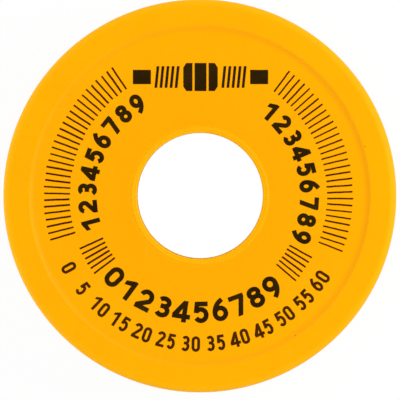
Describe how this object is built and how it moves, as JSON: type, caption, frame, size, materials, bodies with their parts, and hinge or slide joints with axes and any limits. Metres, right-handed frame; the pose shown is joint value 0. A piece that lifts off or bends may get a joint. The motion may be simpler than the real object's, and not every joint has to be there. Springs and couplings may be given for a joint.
{
  "type": "thread seal tape roll",
  "caption": "Two-flange plastic spool with a bore through its hub, wound with thin white thread seal tape whose loose end lifts off the roll to be pulled round a pipe thread.",
  "frame": {"origin": "middle of the underside, where the spool's axis meets the surface it lies on", "axes": "+Z along the spool's axis, from the plain flange up to the printed flange; +X to the right of the print and +Y to its top"},
  "size_m": [0.08, 0.08, 0.0236],
  "materials": {
    "spool_plastic": "satin moulded plastic, orange-yellow",
    "seal_tape": "soft matte white film",
    "print_ink": "dark pad-printed ink"
  },
  "bodies": {
    "spool": {"front_spool_half": "spool_plastic", "rear_spool_half": "spool_plastic", "tape_roll": "seal_tape"},
    "loose_end": {"tape_end": "seal_tape"}
  },
  "joints": [
    {"name": "tape_end_peel", "type": "hinge", "parent": "spool", "child": "loose_end", "pos_m": [-0.00914, -0.03526, 0.0118], "axis": [0, 0, -1], "range_deg": [0, 75]}
  ]
}
